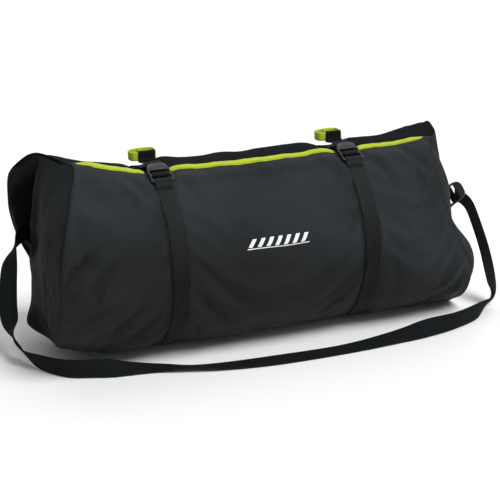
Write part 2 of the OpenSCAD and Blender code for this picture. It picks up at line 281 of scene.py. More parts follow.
def grid_normals(p, closed_u=False, closed_v=False):
    def slope(axis, closed):
        return np.roll(p, -1, axis) - np.roll(p, 1, axis) if closed else np.gradient(p, axis=axis)
    return unit(np.cross(slope(0, closed_u), slope(1, closed_v)))


def lengths(p):
    """Distance travelled along both directions of a grid of points."""
    du = np.concatenate([[0], np.cumsum(np.linalg.norm(np.diff(p, axis=0), axis=2).mean(1))])
    dv = np.concatenate([[0], np.cumsum(np.linalg.norm(np.diff(p, axis=1), axis=2).mean(0))])
    return np.stack(np.meshgrid(du, dv, indexing="ij"), 2)


def shell_data(p, top, bottom, normals=None, closed_u=False, closed_v=False, weave=None):
    """A grid of points made into a closed sheet: top and bottom are offsets along the normals."""
    nu, nv = p.shape[:2]
    n = grid_normals(p, closed_u, closed_v) if normals is None else normals
    top = np.broadcast_to(np.asarray(top, float), (nu, nv))[..., None]
    bottom = np.broadcast_to(np.asarray(bottom, float), (nu, nv))[..., None]
    verts = np.concatenate([(p + n * top).reshape(-1, 3), (p + n * bottom).reshape(-1, 3)])
    w = np.tile((lengths(p) if weave is None else weave).reshape(-1, 2), (2, 1))
    idx = np.arange(nu * nv).reshape(nu, nv)
    if closed_u:
        idx = np.concatenate([idx, idx[:1]])
    if closed_v:
        idx = np.concatenate([idx, idx[:, :1]], 1)
    a, b, c, d = idx[:-1, :-1].ravel(), idx[1:, :-1].ravel(), idx[1:, 1:].ravel(), idx[:-1, 1:].ravel()
    faces = np.stack([a, b, c, d], 1).tolist() + (np.stack([d, c, b, a], 1) + nu * nv).tolist()
    rims = []
    if not closed_v:
        rims += [(idx[:, 0], False), (idx[:, -1], True)]
    if not closed_u:
        rims += [(idx[0], True), (idx[-1], False)]
    for line, turn in rims:
        for i, j in zip(line[:-1].tolist(), line[1:].tolist()):
            face = [i, i + nu * nv, j + nu * nv, j]
            faces.append(face[::-1] if turn else face)
    return verts, faces, w


def shell(name, p, top, bottom, painted_shade=None, **kw):
    verts, faces, w = shell_data(p, top, bottom, **kw)
    return new_object(name, verts, faces, w, painted_shade)


def joined(name, parts):
    """Several (verts, faces, weave) put in one object."""
    verts, faces, weave, start = [], [], [], 0
    for v, f, w in parts:
        verts.append(np.asarray(v, float))
        weave.append(np.asarray(w, float))
        faces += [[i + start for i in face] for face in f]
        start += len(v)
    return new_object(name, np.concatenate(verts), faces, np.concatenate(weave))


def smooth_path(points, per_span):
    """A smooth curve through the points."""
    p = np.asarray(points, float)
    out = []
    for i in range(len(p) - 1):
        a, b, c, d = p[max(i - 1, 0)], p[i], p[i + 1], p[min(i + 2, len(p) - 1)]
        for k in range(per_span):
            t = k / per_span
            out.append(0.5 * (2 * b + (c - a) * t + (2 * a - 5 * b + 4 * c - d) * t * t
                              + (3 * b - a - 3 * c + d) * t ** 3))
    out.append(p[-1])
    return np.array(out)


def travelled(p):
    """Distance along a path at each of its points."""
    return np.concatenate([[0], np.cumsum(np.linalg.norm(np.diff(p, axis=0), axis=1))])


def read_at(t, s, p):
    """The values p, given at distances s, at the distances t."""
    return np.stack([np.interp(t, s, column) for column in p.T], 1)


def even_path(points, pitch, closed=False):
    """The same path with evenly spaced points."""
    p = np.asarray(points, float)
    if closed:
        p = np.concatenate([p, p[:1]])
    s = travelled(p)
    q = read_at(np.linspace(0, s[-1], max(2, int(round(s[-1] / pitch))) + 1), s, p)
    return q[:-1] if closed else q


def edge_profile(half, thick, columns=11):
    """Places across a flat web and its half thickness there, round at both edges."""
    w = np.sin(np.linspace(-0.5, 0.5, columns) * math.pi) * half
    inset = np.clip((half - np.abs(w)) / (thick * 0.5), 0, 1)
    return w, thick * 0.5 * (0.28 + 0.72 * np.sqrt(1 - (1 - inset) ** 2))


def band(name, path, across, width, thick, columns=11, closed=False, crown=0.0):
    """A flat web that follows a path; across gives its width direction at each point."""
    p = np.asarray(path, float)
    tangent = unit(np.roll(p, -1, 0) - np.roll(p, 1, 0) if closed else np.gradient(p, axis=0))
    across = np.broadcast_to(np.asarray(across, float), p.shape)
    across = unit(across - tangent * (across * tangent).sum(1, keepdims=True))
    out = np.cross(tangent, across)
    w, h = edge_profile(width / 2, thick, columns)
    bow = crown * (1 - (w / (width / 2)) ** 2)
    grid = p[:, None] + across[:, None] * w[None, :, None] + out[:, None] * bow[None, :, None]
    normals = np.broadcast_to(out[:, None], grid.shape)
    return shell(name, grid, h[None, :], -h[None, :], normals=normals, closed_u=closed)


def ring_angles(sides):
    return np.linspace(0, 2 * math.pi, sides, endpoint=False)


def ring_faces(rows, sides):
    """Quads between rows of points, each row closed on itself."""
    idx = np.arange(rows * sides).reshape(rows, sides)
    nxt = np.roll(idx, -1, 1)
    return np.stack([idx[:-1], nxt[:-1], nxt[1:], idx[1:]], 2).reshape(-1, 4).tolist()


def capped_faces(rows, sides):
    ends = np.arange(rows * sides).reshape(rows, sides)[[0, -1]].tolist()
    return ring_faces(rows, sides) + [ends[0][::-1], ends[1]]


def round_bar(centre, side, up, size, sides, squash=1.0):
    """A closed round bar with a ring of points about each centre, as (verts, faces)."""
    ring, size = ring_angles(sides), size[:, None, None]
    verts = (centre[:, None] + side[:, None] * (np.cos(ring)[None, :, None] * size)
             + up[:, None] * (np.sin(ring)[None, :, None] * size * squash)).reshape(-1, 3)
    return verts, capped_faces(len(centre), sides)


def thread_run(path, out, pitch, length=0.62, radius=0.3):
    """Stitches along a path: short bowed lengths of thread. out is the surface's normal."""
    p = np.asarray(path, float)
    s = travelled(p)
    count = max(1, int(s[-1] / pitch))
    out = np.broadcast_to(np.asarray(out, float), p.shape)
    size = radius * np.array([0.35, 0.9, 1, 0.9, 0.35])
    bow = radius * np.array([-0.7, 0.25, 0.5, 0.25, -0.7])
    sides = 6
    parts = []
    for k in range(count):
        t = (k + np.linspace(0.5 - length / 2, 0.5 + length / 2, 5)) * s[-1] / count
        c, n = read_at(t, s, p), unit(read_at(t, s, out))
        side = unit(np.cross(unit(np.gradient(c, axis=0)), n))
        verts, faces = round_bar(c + n * bow[:, None], side, n, size, sides)
        weave = np.stack([np.repeat(t, sides), np.tile(ring_angles(sides) * radius, 5)], 1)
        parts.append((verts, faces, weave))
    return parts


# ---------------------------------------------------------- shoulder strap
# The strap's middle line, in metres, and the way its width lies at each of those points
ROUTE = [
    (-0.299, 0.082, 0.152), (-0.318, 0.068, 0.148), (-0.336, 0.048, 0.125), (-0.346, 0.030, 0.095),
    (-0.353, 0.008, 0.062), (-0.353, -0.016, 0.034), (-0.345, -0.038, 0.018), (-0.332, -0.064, 0.0136),
    (-0.306, -0.098, 0.0134), (-0.270, -0.114, 0.0136), (-0.230, -0.115, 0.0076),
    (-0.190, -0.120, 0.0032), (-0.152, -0.136, 0.0046), (-0.105, -0.149, 0.0026),
    (-0.030, -0.160, 0.0028), (0.075, -0.162, 0.0028), (0.160, -0.158, 0.0064),
    (0.205, -0.158, 0.012), (0.250, -0.153, 0.0134), (0.300, -0.133, 0.0134), (0.338, -0.106, 0.015),
    (0.357, -0.084, 0.026), (0.3615, -0.067, 0.050), (0.360, -0.054, 0.078), (0.355, -0.040, 0.109),
    (0.348, -0.027, 0.138), (0.3385, -0.0185, 0.1506), (0.3288, -0.0142, 0.1538)]
LIE = [
    (0, 0, 1), (0.1, 0, 1), (0.6, -0.2, 0.75), (0.85, -0.4, 0.3), (0.85, -0.5, 0), (-0.2, -0.97, 0.1),
    (-0.3, -0.75, 0.55), (-0.1, -0.3, 0.95), (0, 0, 1), (0, 0.1, 1), (0, 0.88, 0.47), (0, 1, 0.08),
    (0, 0.97, -0.24), (0, 1, -0.05), (0, 1, 0.12), (0, 1, 0.1), (0, 0.89, 0.4), (0, 0.5, 0.86),
    (0, 0.05, 1), (0, -0.05, 1), (-0.3, -0.8, 0.45), (-0.8, -0.55, 0.2), (-0.9, -0.45, 0),
    (-0.9, -0.45, 0), (-0.85, -0.5, -0.1), (-0.6, -0.6, -0.45), (-0.2, -0.75, -0.6), (0, -0.82, -0.57)]
STRAP_WIDTH, STRAP_THICK = 25.0, 1.6


def make_sling():
    line, lie = smooth_path(np.array(ROUTE) / MM, 9), smooth_path(LIE, 9)
    strap = band("shoulder_sling", line, lie, STRAP_WIDTH, STRAP_THICK, columns=13, crown=0.25)
    finish_piece(strap, SLING, BAG, ["shoulder_strap"])


make_sling()


# ------------------------------------------------------- shape of the cloth
# Angle a: degrees from the top, positive towards the front. u: -1 left, 1 right.
AXIS_H, ROLL_R, LOWEST = 123.0, 127.0, 0.4
STRAPS = {"left": -153.0, "right": 131.0}


def through(pairs):
    """A smooth function through (angle, value) pairs, without overshoot."""
    x, y = (np.array(v, float) for v in zip(*pairs))
    h = np.diff(x)
    d = np.diff(y) / h
    m = np.zeros(len(x))
    both = (d[:-1] * d[1:]) > 0
    m[1:-1][both] = 2 * d[:-1][both] * d[1:][both] / (d[:-1] + d[1:])[both]

    def f(t):
        t = (np.asarray(t, float) + 180) % 360 - 180
        i = np.clip(np.searchsorted(x, t, "right") - 1, 0, len(h) - 1)
        s = (t - x[i]) / h[i]
        return ((1 + 2 * s) * (1 - s) ** 2 * y[i] + s * (1 - s) ** 2 * h[i] * m[i]
                + s * s * (3 - 2 * s) * y[i + 1] + s * s * (s - 1) * h[i] * m[i + 1])
    return f


# Where the end seams lie along x, and how far from the roll's axis, by angle
left_seam = through([(-180, -300), (-140, -289), (-118, -284), (-104, -289), (-92, -300), (-80, -310),
                     (-60, -320), (-41, -323), (-24, -310), (-6, -300), (6, -288), (16, -271),
                     (32, -285), (56, -303), (75, -315), (95, -320), (125, -320), (150, -305),
                     (180, -300)])
left_reach = through([(-180, 102), (-140, 118), (-100, 126), (-60, 129), (-42, 141), (-24, 151),
                      (-6, 155), (6, 154), (16, 152.5), (32, 136), (56, 121), (75, 123), (95, 126),
                      (125, 119), (150, 111), (180, 102)])
right_seam = through([(-180, 309), (-140, 303), (-90, 302), (-50, 306), (-28, 309), (-12, 304),
                      (0, 298), (9, 286), (18, 263), (37, 256), (59, 249), (72, 255), (92, 272),
                      (115, 300), (150, 311), (180, 309)])
right_reach = through([(-180, 126), (-90, 127), (-50, 129), (-28, 137), (-12, 142.5), (0, 135),
                       (9, 134), (18, 133.5), (37, 127.5), (59, 126), (90, 127), (120, 127),
                       (150, 129), (180, 126)])


def bell(t, centre, width):
    return np.exp(-((t - centre) / width) ** 2)


def step(t, lo, hi):
    t = np.clip((t - lo) / (hi - lo), 0, 1)
    return t * t * (3 - 2 * t)


def on_straps(x, width):
    """1 along the lines of both load straps and 0 beyond that width beside them."""
    return sum(np.exp(-((x - sx) / width) ** 4) for sx in STRAPS.values())


def soft_noise(x, y, seed, cells=64):
    """Smooth noise from -1 to 1, the same on each run."""
    grid = np.random.RandomState(seed).uniform(-1, 1, (cells, cells))
    x, y = np.broadcast_arrays(np.asarray(x, float), np.asarray(y, float))
    i, j = np.floor(x).astype(int), np.floor(y).astype(int)
    s, t = x - i, y - j
    s, t = s ** 3 * (s * (6 * s - 15) + 10), t ** 3 * (t * (6 * t - 15) + 10)
    i, j, i1, j1 = i % cells, j % cells, (i + 1) % cells, (j + 1) % cells
    return ((grid[i, j] * (1 - s) + grid[i1, j] * s) * (1 - t)
            + (grid[i, j1] * (1 - s) + grid[i1, j1] * s) * t)


def crease(x, y, start, end, width, depth):
    """A valley with a soft ridge beside it, along the line from start to end."""
    ax, ay = start
    dx, dy = end[0] - ax, end[1] - ay
    span = math.hypot(dx, dy)
    along = ((x - ax) * dx + (y - ay) * dy) / span
    aside = ((y - ay) * dx - (x - ax) * dy) / span
    aside = aside + 0.06 * span * np.sin(math.pi * along / span)
    fade = step(along, -0.12 * span, 0.22 * span) * (1 - step(along, 0.6 * span, 1.1 * span))
    return depth * fade * (-bell(aside, 0, width) + 0.7 * bell(aside, 1.7 * width, width * 1.1)
                           + 0.35 * bell(aside, -1.9 * width, width * 1.2))


# Folds of the cloth: start, end, width and depth, in mm, on (x, arc down from the top)
FOLDS = [
    ((-334, 222), (-256, 142), 8.5, 6.5), ((-280, 208), (-236, 160), 7.5, 4.2),
    ((-318, 262), (-232, 214), 9.0, 3.4), ((-250, 268), (-196, 226), 8.0, 2.6),
    ((-296, 60), (-283, 190), 6.0, 2.0),
    ((-262, 66), (-214, 118), 10.0, 1.8), ((-196, 52), (-172, 104), 8.0, 2.2),
    ((-178, 128), (-150, 84), 8.0, 1.6), ((-128, 58), (-104, 100), 8.0, 1.8),
    ((-132, 236), (-70, 268), 9.0, 1.6), ((-116, 120), (-84, 168), 8.0, 1.2),
    ((104, 56), (84, 100), 8.0, 2.0), ((158, 56), (186, 112), 8.0, 2.4),
    ((163, 150), (196, 186), 8.0, 1.6), ((228, 60), (250, 124), 7.0, 2.6),
    ((212, 44), (226, 90), 7.0, 1.6), ((250, 250), (292, 206), 9.0, 2.4),
    ((60, 246), (118, 278), 9.0, 1.4), ((-40, 44), (6, 62), 9.0, 1.3)]


def folds(x, a):
    """How far the cloth stands out or in from its folds."""
    arc = ROLL_R * np.radians(np.abs(a))
    total = np.zeros(np.broadcast(x, a).shape)
    for start, end, width, depth in FOLDS:
        total = total + np.where(a > 0, crease(x, arc, start, end, width, 1.25 * depth), 0)
    # slow swells, then small slack ripples that gather near seams and straps
    s = ROLL_R * np.radians(a)
    total = total + 2.5 * soft_noise(x / 74 + 9, s / 66 + 5, 3)
    total = total + 1.3 * soft_noise(x / 31, s / 37 + 2, 11)
    near = step(np.abs(x), 215, 290)
    for sx in STRAPS.values():
        near = np.maximum(near, bell(x, sx, 46))
    ridged = 1 - 2 * np.abs(soft_noise((x + 0.45 * s) / 19, (s - 0.3 * x) / 44, 21))
    total = total + 1.15 * near * ridged
    return total * (1 - step(np.abs(a), 148, 172))


def strap_dip(x, a):
    """The straps press the cloth in, and it swells a little beside them."""
    top = step(a, -120, -60) * (1 - step(a, 100, 150))
    beside = sum(bell(np.abs(x - sx), 42, 17) for sx in STRAPS.values())
    return -(2.2 + 3.4 * bell(a, -22, 28)) * top * (on_straps(x, 21.0) - 0.4 * beside)


moved = {}   # where the cloth simulation moved the plain shape to


def wrapped(a):
    """The same angle between -180 and 180."""
    return (np.asarray(a, float) + 180) % 360 - 180


def soft_ramp(t):
    """t from 0 to 1, with a soft corner at 0."""
    return np.clip(0.5 * (t + np.sqrt(t * t + 0.02)), 0, 1)


def tube(u, a, off=0.0, lift=0.0):
    """A point of the roll's skin; off is along the radius, lift raises the lip's edge."""
    u, a = np.broadcast_arrays(np.asarray(u, float), wrapped(a))
    rad = np.radians(a)
    x = x_at(u, a)
    # towards each end the round section turns into the end seam's own shape
    wl = soft_ramp((-u - 0.66) / 0.34) ** (1 + 0.8 * step(np.abs(a), 95, 150))
    wr = soft_ramp((u - 0.77) / 0.23)
    r = ROLL_R + wl * (left_reach(a) - ROLL_R) + wr * (right_reach(a) - ROLL_R)
    seam = bell(1 - np.abs(u), 0, 0.014)
    inner = 1 - bell(1 - np.abs(u), 0, 0.05)
    flat = on_straps(x, 22.0) * bell(a, 6, 32)
    r = r + (folds(x, a) * (1 - 0.8 * flat) + strap_dip(x, a)) * inner - 1.2 * seam
    # the flap puffs up a little between the straps
    puff = 1 - np.minimum(1, on_straps(x, 26.0))
    puff = puff * (0.35 + 0.65 * step(x, -160, -120) * (1 - step(x, 98, 138)))
    r = r + (lift * bell(a, 14, 20) + 3.4 * puff * bell(a, -18, 13)) * inner + off
    p = np.stack([x, -r * np.sin(rad), AXIS_H + r * np.cos(rad)], -1)
    if "tube" in moved:
        p = p + sample(moved["tube"], u, a)
    # it rests on the floor with a soft edge
    above = p[..., 2] - LOWEST
    p[..., 2] = LOWEST + 0.5 * (above + np.sqrt(above ** 2 + 1.0))
    return p


def sample(field, u, a):
    """Smooth reading (quadratic B-spline) of a field on an even (u, a) grid, periodic in a."""
    nu, na = field.shape[:2]
    x = np.clip((np.asarray(u) + 1) / 2, 0, 1) * (nu - 1)
    y = wrapped(a) / 360 * na + na / 2
    i, j = np.floor(x + 0.5).astype(int), np.floor(y + 0.5).astype(int)
    s, t = x - i, y - j
    rows = (0.5 * (0.5 - s) ** 2, 0.75 - s * s, 0.5 * (0.5 + s) ** 2)
    cols = (0.5 * (0.5 - t) ** 2, 0.75 - t * t, 0.5 * (0.5 + t) ** 2)
    return sum((r * c)[..., None] * field[np.clip(i + di, 0, nu - 1), (j + dj) % na]
               for r, di in zip(rows, (-1, 0, 1)) for c, dj in zip(cols, (-1, 0, 1)))


def x_at(u, a):
    return left_seam(a) + (right_seam(a) - left_seam(a)) * (u + 1) / 2


def u_at(x, a):
    xl, xr = left_seam(a), right_seam(a)
    return 2 * (x - xl) / (xr - xl) - 1


def on_skin(x, a, off=0.0, lift=0.0):
    return tube(u_at(x, a), a, off, lift)


def end_skin(side, s, a):
    """The end cloth: s is 0 at its seam and 1 in its middle."""
    s, a = np.broadcast_arrays(np.asarray(s, float), np.asarray(a, float))
    ring = tube(np.full_like(a, side), a)
    mid_x = -321.0 if side < 0 else 310.0
    y = ring[..., 1] * (1 - s)
    z = AXIS_H + (ring[..., 2] - AXIS_H) * (1 - s)
    out = np.abs(ring[..., 0]) + (abs(mid_x) - np.abs(ring[..., 0])) * (1 - (1 - s) ** 2.7)
    inner = 1 - np.exp(-s / 0.02)
    high = step(z, 112, 156)
    if side < 0:
        groove = 84 * np.exp(-((y - 70) / 25.0) ** 4)
        ridge = 6 * bell(y, 36, 9) - 17 * bell(y, 32, 50)
        ear = (19 * bell(np.hypot(y - 2, (z - 46) * 1.15), 0, 24)
               - bell(z, 104, 28) * (3 + 16 * step(y, 8, 70)) * step(y, -70, -10))
    else:
        groove = 60 * np.exp(-((y - 70) / 19.0) ** 4)
        ridge = 3 * bell(y, 38, 11)
        ear = (14 * bell(np.hypot((y + 84) * 0.9, z - 88), 0, 30)
               - 9 * bell(z, 144, 22) * bell(y, -80, 50))
    out = out + inner * (ear + high * (ridge - groove))
    slack = (1.6 * soft_noise(y / 40 + 3, z / 52, 31 + side)
             + 0.7 * soft_noise(y / 17, z / 29 + 7, 41 + side))
    spokes = 1 - 2 * np.abs(soft_noise(a / 11 + 20, s * 3, 51 + side))
    out = out + inner * (slack + 1.1 * spokes * bell(s, 0.18, 0.16)) - 1.2 * bell(s, 0, 0.02)
    # where it folds into the roll, it stays inside the roll's own skin
    reach = np.hypot(y, z - AXIS_H)
    skin = tube(np.clip(u_at(side * out, a), -1, 1), a)
    room = np.hypot(skin[..., 1], skin[..., 2] - AXIS_H) - 4.5 * (1 - np.exp(-s / 0.002))
    inside = step(np.abs(ring[..., 0]) - out, 1, 8)
    kept = 1 - inside * (1 - np.minimum(1, room / np.maximum(reach, 1.0)))
    y, z = y * kept, AXIS_H + (z - AXIS_H) * kept
    return np.stack([side * out, y, np.maximum(z, 1.2)], -1)


# The cloth simulation: grid points along and round the roll, how full the cloth is cut,
# how many frames it runs, and the furthest that it may move a point, in mm
SIM_GRID, FULLNESS, SIM_FRAMES, MOST_SHIFT = (137, 176), 0.022, 26, 7.0


def settle_roll():
    """Let the roll's cloth, cut a little full, find its own folds. Fills moved["tube"]."""
    nu, na = SIM_GRID
    u, a = np.linspace(-1, 1, nu)[:, None], (np.arange(na) * 360 / na - 180)[None, :]
    start = tube(u, a, 0.2)
    mesh = bpy.data.meshes.new("settling")
    mesh.from_pydata((start.reshape(-1, 3) * MM).tolist(), [], ring_faces(nu, na))
    obj = add("settling", mesh)
    # held at the end seams, under the straps, over the top and on the floor
    x = start[..., 0]
    flat = np.broadcast_to(a, x.shape)
    held = np.broadcast_to(step(np.abs(u), 0.955, 0.985), x.shape)
    for sx in STRAPS.values():
        held = np.maximum(held, 1 - step(np.abs(x - sx), 12, 19))
    held = np.maximum(held, step(flat, -46, -34) * (1 - step(flat, 19, 27)))
    held = np.maximum(held, step(np.abs(flat), 146, 156))
    group = obj.vertex_groups.new(name="held")
    for k, w in enumerate(held.ravel().tolist()):
        if w > 0.01:
            group.add([k], w, "REPLACE")
    cloth = obj.modifiers.new("cloth", "CLOTH")
    c = cloth.settings
    c.quality, c.mass = 6, 0.15
    c.tension_stiffness = c.compression_stiffness = 20
    c.shear_stiffness, c.bending_stiffness = 10, 1.2
    c.vertex_group_mass, c.pin_stiffness = "held", 1.0
    c.shrink_min = -FULLNESS
    c.use_pressure, c.uniform_pressure_force = True, 0.5
    c.effector_weights.gravity = 0.4
    cloth.collision_settings.use_collision = False
    cloth.collision_settings.use_self_collision = False
    for frame_number in range(1, SIM_FRAMES + 1):
        bpy.context.scene.frame_set(frame_number)
    done = obj.evaluated_get(bpy.context.evaluated_depsgraph_get()).to_mesh()
    flat_co = np.empty(nu * na * 3)
    done.vertices.foreach_get("co", flat_co)
    shift = (flat_co.reshape(nu, na, 3) / MM - start) * (1 - held)[..., None]
    bpy.data.objects.remove(obj)
    bpy.data.meshes.remove(mesh)
    bpy.context.scene.frame_set(1)
    size = np.linalg.norm(shift, axis=2, keepdims=True)
    moved["tube"] = shift * np.minimum(1, MOST_SHIFT / np.maximum(size, 1e-6))


settle_roll()


# ------------------------------------------------------------ cloth pieces
CLOTH_T = 1.3
LIP_LIFT = 3.0
# Angles of the lip's edge and of the seams at the base's front and back and at the flap
LIP_EDGE, BASE_SEAM, BACK_SEAM, FLAP_SEAM = 13.2, 148, 214, 328.6
DEG = math.degrees(1 / ROLL_R)   # degrees of arc in one millimetre


def spread(start, end, pitch):
    return np.linspace(start, end, max(2, int(round(abs(end - start) / pitch))) + 1)


# Places along the roll, closer together towards its ends
US = np.sin(spread(-0.5, 0.5, 0.0052) * math.pi * 0.86) / math.sin(0.43 * math.pi)


def shade(u, a):
    """Painted shade on the skin, from 0 to 1: in a crease, along a seam, in a corner and beside each
    strap on the front.
    """
    u, a = np.broadcast_arrays(u, wrapped(a))
    x = x_at(u, a)
    deep = 0.55 * np.clip(-folds(x, a) / 6.0 - 0.15, 0, 1)
    front = step(a, 36, 48) * (1 - step(a, 96, 122))
    # painted shadow along one edge of each strap on the front
    for sx in STRAPS.values():
        deep = np.maximum(deep, 0.75 * front * bell(x, sx - 14.5, 2.4))
    # painted shade at the right end's upper front corner
    corner = 0.42 * bell(1 - u, 0, 0.11) * step(a, -5, 8) * (1 - step(a, 50, 90))
    return np.maximum(np.maximum(deep, corner), 0.85 * bell(1 - np.abs(u), 0, 0.007))


def roll_cloth(name, a, off, lift, material, body, stands_for):
    """A panel over the roll's skin, along the angles a."""
    u, a = US[:, None], a[None, :]
    piece = shell(name, tube(u, a, off, lift), 0, -CLOTH_T, shade(u, a))
    finish_piece(piece, material, body, stands_for)


def end_cloth(name, side, stands_for):
    s = np.concatenate([[0, 0.006, 0.014, 0.025, 0.04], np.linspace(0.06, 0.985, 38)])
    ring = np.arange(0, 360, 1.5)
    p = end_skin(side, s[:, None], ring[None, :])
    centre = p[-1].mean(0)
    p = np.concatenate([p, (centre + (p[-1] - centre) * 0.15)[None]])
    s = np.append(s, 1.0)
    n = grid_normals(p, closed_v=True)
    facing = np.sign((n[..., 0] * side).mean())
    verts, faces, weave = shell_data(p, 0.2, -1.1, normals=n * facing, closed_v=True, weave=p[..., 1:])
    # its middle is closed by a small cap on each face, in place of the rim that comes last
    top = np.arange(len(s) * len(ring))[-len(ring):]
    low = top + len(s) * len(ring)
    faces = faces[:-len(ring)] + [top.tolist(), low[::-1].tolist()]
    if facing < 0:
        faces = [f[::-1] for f in faces]
    # painted shade: the fold behind the front lobe is painted dark, all but the rear seam's edge
    deep = step(p[..., 2], 96, 134) * step(p[..., 1], 30, 47) * (1 - bell(s, 0, 0.010))[:, None]
    # painted shade all over each end, more towards the left end's middle, and most along its seam
    base_shade = 0.24 + 0.34 * step(s, 0.05, 0.6) if side < 0 else 0.42 + 0 * s
    base_shade = np.maximum(base_shade, 0.7 * bell(s, 0, 0.012))
    deep = np.maximum(deep * (0.99 if side < 0 else 0.6), base_shade[:, None])
    finish_piece(new_object(name, verts, faces, weave, deep), END, LIP_BEND, stands_for)


def make_cloth():
    def angles(start, end):
        return spread(start, end, 3 * DEG)
    roll_cloth("front_cloth", angles(BASE_SEAM, LIP_EDGE), 1.4, LIP_LIFT, CLOTH, LIP_BEND,
               ["upper_front_panel", "lower_front_panel"])
    roll_cloth("base_cloth", angles(BACK_SEAM, BASE_SEAM), 0.2, 0, CLOTH, BAG, ["base_panel"])
    roll_cloth("back_cloth", angles(FLAP_SEAM, BACK_SEAM), 0.2, 0, CLOTH, BAG, ["back_panel"])
    a = angles(27, -33.4)
    under = -1.4 * step(a, -34, -31) - 1.4 * step(a, -2, 11)
    # the rear flap wears the painted-shade copy of the bag cloth
    roll_cloth("rear_flap_cloth", a, under, 0, SHADED_FLAP, BAG, ["rear_flap"])
    for side, name in ((-1, "left"), (1, "right")):
        end_cloth(name + "_end_cloth", side, [name + "_end_panel"])


make_cloth()


# ------------------------------------------------------------- lime binding
def from_axis(p):
    """The direction away from the roll's axis at each point."""
    return unit(p * (0, 1, 1) - (0, 0, AXIS_H))


def make_binding():
    x0, x1, half_width, half_thick = -270.0, 264.0, 5.3, 2.3
    end = 14 * np.linspace(0, 1, 8) ** 1.6
    xs = np.concatenate([x0 + end, spread(x0 + 17, x1 - 17, 3.0), x1 - end[::-1]])
    taper = np.minimum(1, (np.minimum(xs - x0, x1 - xs) / 26 + 0.004) ** 0.75)
    # a flattened roll of tape folded over the cloth's edge; the straps press it flat
    sides, mid = 20, 15.5
    ring = ring_angles(sides)
    along = half_width * np.sign(np.cos(ring)) * np.abs(np.cos(ring)) ** 0.75
    proud = half_thick * np.sign(np.sin(ring)) * np.abs(np.sin(ring)) ** 0.85
    proud = proud * (1 - 0.16 * np.cos(ring))
    x, k, flat = xs[:, None], taper[:, None], on_straps(xs, 19.0)[:, None]
    wave = 0.25 * np.sin(x * 0.31) + 0.2 * np.sin(x * 0.13 + 1)
    a = mid + (along * k + wave - 4.5 * (1 - k)) * DEG
    grid = on_skin(x, a, 0.75 - 1.7 * flat + proud * k * (1 - 0.6 * flat), LIP_LIFT)
    weave = np.stack([np.repeat(xs, sides), np.tile(1.2 * np.arange(1, sides + 1), len(xs))], 1)
    tape = new_object("lip_binding_tape", grid.reshape(-1, 3), capped_faces(len(xs), sides), weave)
    finish_piece(tape, BINDING, LIP_BEND, ["lip_binding"])
    line = spread(x0 + 16, x1 - 16, 2.0)
    off = 2.75 - 2.4 * on_straps(line, 19.0)
    run = on_skin(line, np.full_like(line, mid + 4.0 * DEG), off, LIP_LIFT)
    stitches = joined("binding_stitches", thread_run(run, from_axis(run), 3.2))
    finish_piece(stitches, LIME_THREAD, LIP_BEND)


make_binding()


# ------------------------------------------------------------ load webbing
def arc(r, degrees, cx=0.0, cy=0.0):
    return [(cx + r * math.cos(t), cy + r * math.sin(t)) for t in np.radians(degrees)]


# Widths of the strap webbing and of the tail folded from it, and their thickness
WEB, TAIL, WEB_T = 25.0, 24.0, 1.5
# The load buckles' section: the middle of the anchor bar in (y, z) and the way the tab points
ANCHOR = (-60.56, 241.86)
BUCKLE_AT = math.radians(27)
V_DIR = (math.cos(BUCKLE_AT), math.sin(BUCKLE_AT))
W_DIR = (-V_DIR[1], V_DIR[0])
ACROSS = (1, 0, 0)


def on_buckle(*places):
    """(y, z) of points of a load buckle's section: v towards its tab, w away from the roll."""
    return [(ANCHOR[0] + v * V_DIR[0] + w * W_DIR[0], ANCHOR[1] + v * V_DIR[1] + w * W_DIR[1])
            for v, w in places]


def skin_rows(sx, angles, off, lift):
    """Rows of points across a strap that lies on the skin at those angles."""
    w = edge_profile(WEB / 2, WEB_T)[0]
    return on_skin(sx + w[None, :], angles[:, None], off, lift)


def path_rows(sx, yz, width=WEB):
    """Rows of points across a strap whose middle line is given in (y, z)."""
    w = edge_profile(width / 2, WEB_T)[0]
    rows = np.empty((len(yz), len(w), 3))
    rows[..., 0] = sx + w[None, :]
    rows[..., 1:] = np.asarray(yz, float)[:, None, :]
    return rows


def web(name, rows, material, body, stands_for, width=WEB, thin=1.0):
    h = edge_profile(width / 2, WEB_T)[1] * thin
    finish_piece(shell(name, rows, h[None, :], -h[None, :]), material, body, stands_for)


def bartack(name, centre, across, along, out, width, length, body, rows=4):
    """A dense zigzag of thread sewn through webbing, with a line of stitches at each side."""
    centre, across, along = (np.array(v, float) for v in (centre, across, along))
    parts = []
    t = np.linspace(-0.5, 0.5, 25)[:, None]
    for k in range(rows):
        y = (k / (rows - 1) - 0.5) * length
        line = centre + across * t * width + along * (y + 0.25 * np.sin(t * 40))
        parts += thread_run(line, out, 1.35, length=0.9)
    t = np.linspace(-0.5, 0.5, 12)[:, None]
    for y in (-0.5, 0.5):
        parts += thread_run(centre + across * (y * width) + along * t * length, out, 1.6, length=0.9)
    finish_piece(joined(name, parts), THREAD, body)


def skin_bartack(name, sx, a, off, lift, body):
    """A bartack through a load strap where it lies on the skin at the angle a."""
    s, c = math.sin(math.radians(a)), math.cos(math.radians(a))
    bartack(name, on_skin(np.array(sx), np.array(a), off, lift), ACROSS, (0, -c, -s), (0, -s, c),
            21, 6, body)


